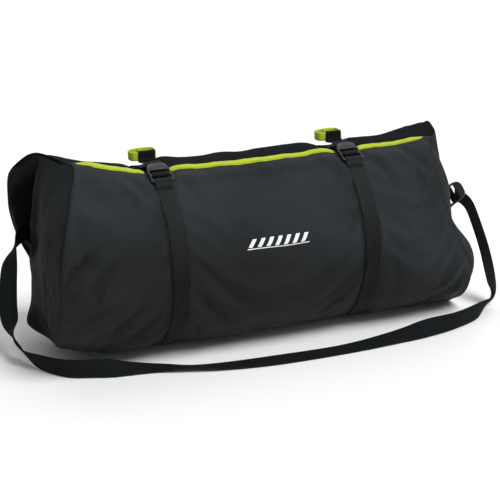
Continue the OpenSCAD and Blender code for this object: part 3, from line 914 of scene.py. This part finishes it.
def make_load_webbing(side, sx):
    # front: from the base seam up to the buckle's anchor bar, round it and back on itself
    rows = skin_rows(sx, np.linspace(147.5, 42, 96), 2.4, LIP_LIFT)
    lead = [rows[-1].mean(0)[1:], *on_buckle((-15, -5.4), (-8, -4.3), (-3.5, -3.5))]
    eye = on_buckle(*arc(3.3, np.arange(-95, 126, 20)))
    fold = [eye[-1], *on_buckle((-4.5, -0.3), (-8, -1.9), (-12.5, -2.9))]
    more = np.concatenate([smooth_path(lead, 5)[1:-1], eye, smooth_path(fold, 4)[1:]])
    web(side + "_front_webbing", np.concatenate([rows, path_rows(sx, more)]), FRONT_WEB, LIP_BEND,
        [side + "_front_strap", side + "_buckle_strap"])
    # back: from the base seam up the back, over the flap and the lip, under the buckle's tab
    a = np.linspace(-146, 4, 132)
    rows = skin_rows(sx, a, (1.3 - 1.5 * step(a, -36, -27))[:, None], 0)
    over = [rows[-1].mean(0)[1:], (-20.5, 251.6),
            *on_buckle((30, -5.2), (24, -4.9), (18, -4.6), (12.1, -4.5))]
    web(side + "_load_webbing", np.concatenate([rows, path_rows(sx, smooth_path(over, 5)[1:])]), BLACK,
        LOAD_BEND, [side + "_load_strap", side + "_strap_end"])
    # the turn over the buckle's middle bar
    turn = on_buckle((12.4, -2.9), (9.6, -2.75), (8.0, -1.4), (7.9, 1.4), (9.2, 2.75), (13.4, 2.75),
                     (14.9, 1.2), (15.3, -1.0), (16.9, -2.9))
    web(side + "_turned_webbing", path_rows(sx, smooth_path(turn, 5), TAIL), BLACK, side + "_buckle",
        [side + "_bar_turn"], TAIL)
    # the free end, folded round the pull loop
    tail = [*on_buckle((17.4, -2.9), (22, -2.9), (27, -2.9), (33, -2.2)),
            (-22, 256.2), (-14, 256.4), (-7.7, 255.1)]
    rows = path_rows(sx, smooth_path(tail, 5), TAIL)
    rows[..., 2] += 0.5 * np.sin((rows[..., 0] - sx) * 0.12)
    web(side + "_tail_webbing", rows, BLACK, side + "_tail", [side + "_tail"], TAIL)
    # wrap: up over the ring's near side and back down to itself
    wrap = [(-4.2, 254.4), (-2.2, 253.9), (1.6, 253.8), (3.9, 255.4), (4.4, 261), (3.8, 266.6),
            (2.3, 268.0), (0.6, 266.6), (0.1, 261), (-0.4, 257.4), (-2.6, 256.2), (-4.3, 256.0)]
    web(side + "_wrap_webbing", path_rows(sx, smooth_path(wrap, 5), TAIL), BLACK, side + "_pull",
        [side + "_tail_wrap"], TAIL, 0.93)
    bartack(side + "_wrap_bartack", (sx, -1.2, 257.6), ACROSS, (0, 0.8, 0.6), (0, -0.6, 0.8), 19, 2.6,
            side + "_pull", rows=3)
    fold = (sx, *on_buckle((-10.0, -1.35))[0])
    bartack(side + "_fold_bartack_0", fold, ACROSS, (0, *V_DIR), (0, *W_DIR), 20, 2.4, LIP, rows=3)
    skin_bartack(side + "_front_bartack_0", sx, 146.0, 3.2, LIP_LIFT, BAG)
    skin_bartack(side + "_front_bartack_1", sx, 98.5, 3.2, LIP_LIFT, LIP_BEND)
    for a in (140, 34):
        skin_bartack(f"{side}_back_bartack_{a}", sx, -a, 1.9, 0, BAG)


# ------------------------------------------------------------------ buckles
def rounded_box(x0, y0, x1, y1, r, n=6):
    """Outline of a rectangle with round corners."""
    corners = ((x1 - r, y1 - r), (x0 + r, y1 - r), (x0 + r, y0 + r), (x1 - r, y0 + r))
    return [point for quarter, (cx, cy) in enumerate(corners)
            for point in arc(r, 90 * (quarter + np.arange(n + 1) / n), cx, cy)]


def buckle_outline():
    """Flared foot, straight rails, then a round thumb tab. u across, v towards the tab."""
    half = []
    for v in np.linspace(-2.0, 21, 26):
        flare = 16.7 - 0.9 * step(v, -1, 7) + 0.3 * step(v, 12, 19)
        half.append((flare - 1.6 * bell(v, -2.0, 1.2), v))
    for t in np.linspace(0, 90, 22):
        c, s = math.cos(math.radians(t)), math.sin(math.radians(t))
        half.append((15.2 * c ** 0.6, 22.2 + 9.6 * s ** 0.9))
    return half + [(-u, v) for u, v in reversed(half[:-1])]


def solid_from_outlines(loops, thick, bevel):
    """A plate with holes and round edges, as (verts, faces)."""
    curve = bpy.data.curves.new("plate", "CURVE")
    curve.dimensions = "2D"
    curve.fill_mode = "BOTH"
    curve.extrude = thick / 2 - bevel
    curve.bevel_depth = bevel
    curve.bevel_resolution = 3
    curve.offset = -bevel
    for loop in loops:
        spline = curve.splines.new("POLY")
        spline.points.add(len(loop) - 1)
        for point, (x, y) in zip(spline.points, loop):
            point.co = (x, y, 0, 1)
        spline.use_cyclic_u = True
    obj = add("plate", curve)
    bpy.context.view_layer.update()
    mesh = bpy.data.meshes.new_from_object(obj.evaluated_get(bpy.context.evaluated_depsgraph_get()))
    bm = bmesh.new()
    bm.from_mesh(mesh)
    bmesh.ops.remove_doubles(bm, verts=bm.verts, dist=0.01)
    bmesh.ops.triangulate(bm, faces=[f for f in bm.faces if len(f.verts) > 4])
    bm.verts.index_update()
    verts = np.array([v.co for v in bm.verts])
    faces = [[v.index for v in f.verts] for f in bm.faces]
    bm.free()
    bpy.data.objects.remove(obj)
    bpy.data.curves.remove(curve)
    bpy.data.meshes.remove(mesh)
    return verts, faces


def rod(path, radius, squash, sides, taper):
    """A round bar along a path, slim at its ends where it tapers, as (verts, faces, weave)."""
    p = np.asarray(path, float)
    t = unit(np.gradient(p, axis=0))
    side = unit(np.cross(t, np.array([0.02, 0.03, 1.0])))
    size = np.full(len(p), radius)
    if taper:
        size = radius * np.sqrt(np.clip(1 - np.abs(np.linspace(-1, 1, len(p))) ** 6, 0.02, 1))
    verts, faces = round_bar(p, side, np.cross(side, t), size, sides, squash)
    return verts, faces, verts[:, :2]


def buckle_parts():
    """The buckle in its own frame: anchor bar along X at the origin, +Y to the tab, +Z out."""
    thick, bevel, slot, corner = 3.5, 0.85, 13.2, 1.4
    loops = [buckle_outline()] + [rounded_box(-slot, y0, slot, y1, corner)[::-1]
                                  for y0, y1 in ((1.9, 9.4), (13.4, 20.4))]
    v, f = solid_from_outlines(loops, thick, bevel)

    def rise(y):
        """How far the bent tab rises at y."""
        return 0.30 * np.maximum(y - 22.5, 0) ** 1.06
    tab = step(v[:, 1], 21.5, 27)
    v[:, 2] = v[:, 2] * (1 - 0.34 * tab) + rise(v[:, 1])
    v[:, 2] += 0.5 * bell(np.abs(v[:, 0]), 16, 2.2) * (1 - tab)
    parts = [(v, f, v[:, :2])]
    # ribs round the tab, then bars: two on the middle bar, one under the tab, and the anchor bar
    for k in range(4):
        t = np.radians(np.linspace(25 + 4 * k, 155 - 4 * k, 25))
        x, y = (12.4 - 2.5 * k) * np.cos(t), 22.4 + (7.8 - 1.8 * k) * np.sin(t)
        z = rise(y) + thick / 2 - 0.6 * step(y, 21.5, 27)
        parts.append(rod(np.stack([x, y, z], 1), 0.55, 0.8, 10, taper=True))
    for y, z, r in ((10.2, 1.65, 0.7), (12.8, 1.65, 0.7), (21.3, 1.7, 0.65), (0.0, 0.2, 1.9)):
        x = np.linspace(-13.4, 13.4, 28)
        wobble = 0.12 * np.sin(x * 2.1) if r < 1 else 0 * x
        parts.append(rod(np.stack([x, 0 * x + y, z + wobble], 1), r, 0.9, 14, taper=r < 1))
    return parts


def place_buckle(name, node, origin, across, up):
    """A buckle for a node, riding on the body of the same name."""
    turn = np.array([across, up, np.cross(across, up)], float)
    parts = [(np.asarray(origin) + v @ turn, f, w) for v, f, w in buckle_parts()]
    finish_piece(joined(name, parts), PLASTIC, node, [node])


# --------------------------------------------------------------- pull loops
def make_pull_loop(side, cx):
    half, deep, r, wide, thick, level = 18.2, 18.4, 6.0, 12, 1.6, 261
    cy = 2.4 + deep / 2
    outline = rounded_box(cx - half, cy - deep / 2, cx + half, cy + deep / 2, r, 8)
    path = even_path(outline, 1.6, closed=True)
    x, y = path[:, 0] - cx, path[:, 1] - cy
    far = step(y, -4, 9)
    z = level + 0.9 * np.sin(x * 0.11 + 1) * far + 0.7 * far
    path = np.stack([path[:, 0] + 0.6 * far * np.sin(x * 0.2), path[:, 1], z], 1)
    lean = np.stack([0.05 * np.sin(x * 0.15), 0.10 * far, np.ones(len(x))], 1)
    ring = band(side + "_pull_ring", path, lean, wide, thick, columns=13, closed=True)
    finish_piece(ring, LIME, side + "_pull", [side + "_pull_loop"])
    # the loop's two ends overlap on the far side, held by a row of stitches
    t = np.linspace(-7.5, 7.5, 12)
    lap_x, back_y = cx + 3, cy + deep / 2
    lap = np.stack([lap_x + t, 0 * t + back_y - 1.35, 0 * t + level + 1], 1)
    over = band(side + "_pull_lap", lap, (0, 0.1, 1), 11.6, 1.2, columns=13)
    finish_piece(over, LIME, side + "_pull")
    parts = []
    for dx in (-5.6, 5.6):
        z = level + 1 + np.linspace(-5.2, 5.2, 10)
        line = np.stack([0 * z + lap_x + dx, 0 * z + back_y - 1.95, z], 1)
        parts += thread_run(line, (0, -1, 0), 1.9, radius=0.28)
    finish_piece(joined(side + "_pull_stitches", parts), LIME_THREAD, side + "_pull")


# ---------------------------------------------------------- fittings at ends
SLING_AT = np.array([316.0, -10.0, 148.0])
LEAN, TURN = math.radians(35), math.radians(35)


def make_right_fitting():
    across = np.array([0, math.cos(TURN), math.sin(TURN)])
    upward = np.array([0, -math.sin(TURN), math.cos(TURN)])
    out = np.array([1.0, 0, 0])
    tab = upward * math.cos(LEAN) + out * math.sin(LEAN)
    place_buckle("shoulder_ladder_buckle", "shoulder_buckle", SLING_AT, across, tab)
    # strip sewn up the end, then round the anchor bar and back down on itself
    up = [(-4.1, -56), (-4.1, -40), (-4.1, -24), (-4.0, -14), (-3.6, -5)]
    eye = arc(3.5, np.arange(200, -61, -20))
    down = [(0.4, -6.4), (-1.9, -12), (-2.5, -20), (-2.55, -27)]
    path = np.array([SLING_AT + out * a + upward * b for a, b in smooth_path(up + eye + down, 4)])
    finish_piece(band("right_end_strip", path, across, WEB, WEB_T), BLACK, BAG, ["right_end_webbing"])
    for k, (a, b) in enumerate(((-1.6, -22.0), (-3.2, -50.0))):
        centre = SLING_AT + out * a + upward * b
        bartack(f"right_end_bartack_{k}", centre, across, upward, out, 20, 5, BAG)
    # the shoulder strap's own end, over the middle bar and down behind the buckle
    face = np.cross(across, tab)
    turn = [(12.4, 5.0), (14.8, 3.0), (15.3, 0.2), (13.4, -2.7), (10.4, -2.8), (8.0, -1.0), (8.2, 2.6),
            (9.8, 3.0)]
    path = np.array([SLING_AT + tab * v + face * w for v, w in smooth_path(turn, 5)])
    finish_piece(band("shoulder_sling_turn", path, across, 24.5, 1.3), SLING, "shoulder_buckle")


def node_box(name):
    """A CAD node's lowest and highest corner in millimetres."""
    return [np.array(v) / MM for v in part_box(name)]


def make_left_fitting():
    lo, hi = node_box("left_end_webbing")
    y, z = lo[1], (lo[2] + hi[2]) / 2
    path = smooth_path([(hi[0], y + 0.7, z), (-280, y + 0.6, z), (lo[0] - 0.2, y + 0.7, z)], 6)
    finish_piece(band("left_end_strip", path, (0, 0, 1), WEB, 1.3), BLACK, BAG, ["left_end_webbing"])
    path = path + np.array([0, 1.45, 0])
    finish_piece(band("left_end_strip_fold", path, (0, 0, 1), WEB - 0.6, 1.3), BLACK, BAG)
    bartack("left_end_bartack", (-288, y + 0.1, z), (0, 0, 1), (1, 0, 0), (0, -1, 0), 20, 6, BAG)


def make_tie_in_loop(side, sgn):
    """A loop of webbing inside an end panel, for one end of the rope."""
    lo, hi = node_box(side + "_tie_in_loop")
    wall = hi[0] if sgn > 0 else lo[0]
    r, cx, cz = 15.2, wall - sgn * 17.0, (lo[2] + hi[2]) / 2
    ring = [(cx + sgn * r * math.cos(a), cz + r * math.sin(a))
            for a in np.radians(np.linspace(38, 322, 48))]
    foot = wall - sgn * 1.1
    path = [(foot, cz + 20), (foot, cz + 15), *ring, (foot, cz - 15), (foot, cz - 22)]
    path = even_path([(x, 0, z) for x, z in path], 1.8)
    loop = band(side + "_tie_in_webbing", path, (0, 1, 0), 15.5, 1.6)
    finish_piece(loop, LIME, BAG, [side + "_tie_in_loop"])
    for k in (-1, 1):
        bartack(f"{side}_tie_in_bartack_{k + 1}", (foot - sgn * 0.9, 0, cz + 18.5 * k), (0, 1, 0),
                (0, 0, 1), (-sgn, 0, 0), 12, 4, BAG, rows=3)


# --------------------------------------------------------------- rope sheet
def make_rope_sheet():
    """A ground sheet folded in three along the roll, lying on the base."""
    lo, hi = node_box("rope_sheet")
    half = (hi[1] - lo[1]) / 2 - 4
    section = []
    for k, (level, turn) in enumerate(((4.4, 1), (8.0, -1), (11.6, 1))):
        ys = np.linspace(-half, half, 40) * turn
        section += [(y, level + 0.5 * math.sin(y * 0.08 + k)) for y in ys]
        if k < 2:
            section += [(turn * (half + 3 * math.cos(t)), level + 1.8 + 1.8 * math.sin(t))
                        for t in np.radians((-60, -20, 20, 60))]
    section = even_path(section, 4.0)
    y, z = section.T
    xs = np.linspace(lo[0] + 3, hi[0] - 3, 96)
    x = xs[:, None]
    rise = 0.55 * soft_noise(x / 38, y / 33, 71) * (z / 6)
    grid = np.stack([x + 1.5 * np.sin(y * 0.05), y * (1 + 0.01 * np.sin(x * 0.05)), z + rise], 2)
    # it lies in the roll's round bottom
    lowest = AXIS_H - np.sqrt(np.maximum((ROLL_R - 3.0) ** 2 - grid[..., 1] ** 2, 0))
    grid[..., 2] = np.maximum(grid[..., 2], 0) + np.maximum(lowest - 2.2, 0) * 0.9
    obj = shell("rope_sheet_folded", grid, 0.35, -0.35)
    finish_piece(obj, SHEET, BAG, ["rope_sheet"])


# -------------------------------------------------------------- front print
def flake(corners, nu, nv):
    """A thin patch of print on the front; corners in (x, height)."""
    a, b, c, d = (np.array(q, float) for q in corners)
    u, v = np.linspace(0, 1, nu)[:, None, None], np.linspace(0, 1, nv)[None, :, None]
    flat = (a * (1 - u) + b * u) * (1 - v) + (d * (1 - u) + c * u) * v
    x, z = flat[..., 0], flat[..., 1]
    angle = np.degrees(np.arccos(np.clip((z - AXIS_H) / (ROLL_R + 1.5), -1, 1)))
    grid = on_skin(x, angle, 1.4, LIP_LIFT)
    n = grid_normals(grid)
    return shell_data(grid, 0.55, 0.02, normals=n * -np.sign(n[..., 1].mean()))


def make_print():
    """Leaning lozenges on a line, like laid rope."""
    count, x0, length, z0, high, foot = 7, -55.5, 90.5, 153.2, 15.2, 2.7
    left, right, lean = 1.7, 7.6, 7.1
    line = 1.3
    parts = [flake([(x0, z0), (x0 + length, z0), (x0 + length, z0 + line), (x0, z0 + line)], 60, 3)]
    for x in x0 + (length - right - lean) / (count - 1) * np.arange(count):
        parts.append(flake([(x + left, z0 + foot), (x + right, z0 + foot), (x + right + lean, z0 + high),
                            (x + left + lean, z0 + high)], 8, 14))
    finish_piece(joined("front_rope_print", parts), PRINT, LIP_BEND, ["front_print"])


for side, sx in STRAPS.items():
    make_load_webbing(side, sx)
    place_buckle(side + "_ladder_buckle", side + "_buckle", (sx, *ANCHOR), ACROSS, (0, *V_DIR))
    make_pull_loop(side, sx - (3 if side == "left" else 4))
make_right_fitting()
make_left_fitting()
make_tie_in_loop("left", -1)
make_tie_in_loop("right", 1)
make_rope_sheet()
make_print()


# --------------------------------------------------------------- seam thread
def seam_stitches(name, u, a, off, lift, body):
    line = even_path(tube(u, a, off, lift), 2.0)
    finish_piece(joined(name, thread_run(line, from_axis(line), 3.6)), THREAD, body)


def make_seam_stitches():
    a = np.linspace(24, 146, 140)
    for side, end in (("left", -0.984), ("right", 0.984)):
        seam_stitches(side + "_seam_stitches", end, a, 1.75, LIP_LIFT, LIP_BEND)
    u = np.linspace(-0.97, 0.97, 300)
    seam_stitches("base_seam_stitches", u, 145.0, 1.75, 0, BAG)
    seam_stitches("back_seam_stitches", u, -144.0, 0.55, 0, BAG)
    seam_stitches("flap_seam_stitches", u, -30.5, -0.9, 0, BAG)


make_seam_stitches()


# ------------------------------------------------------- floor and lighting
# Sun lamps: name, the direction they stand in, how wide they are in degrees, strength
LAMPS = (("key", (0.30, -0.45, 0.84), 34, 2.45), ("rear", (0.35, 0.65, 0.67), 60, 0.85))
SKY = 0.34
PAPER = ((0.93, 0.93, 0.93), (0.96, 0.96, 0.96))


def make_studio():
    floor = bpy.data.meshes.new("studio_floor")
    floor.from_pydata([(-50, -50, 0), (50, -50, 0), (50, 50, 0), (-50, 50, 0)], [], [(0, 1, 2, 3)])
    obj = add("studio_floor", floor)
    g = Graph("studio_paper")
    g.put(g.shader, {"Base Color": g.mix(g.noise(3), *PAPER), "Roughness": 0.9})
    obj.data.materials.append(g.mat)
    world = bpy.data.worlds.new("studio")
    world.use_nodes = True
    background = world.node_tree.nodes["Background"]
    background.inputs["Color"].default_value = (1, 1, 1, 1)
    background.inputs["Strength"].default_value = SKY
    bpy.context.scene.world = world
    for name, aim, angle, power in LAMPS:
        data = bpy.data.lights.new(name, "SUN")
        data.energy, data.angle = power, math.radians(angle)
        add(name, data).rotation_euler = Vector(aim).to_track_quat("Z", "Y").to_euler()
    bpy.context.scene.view_settings.view_transform = "Standard"


make_studio()
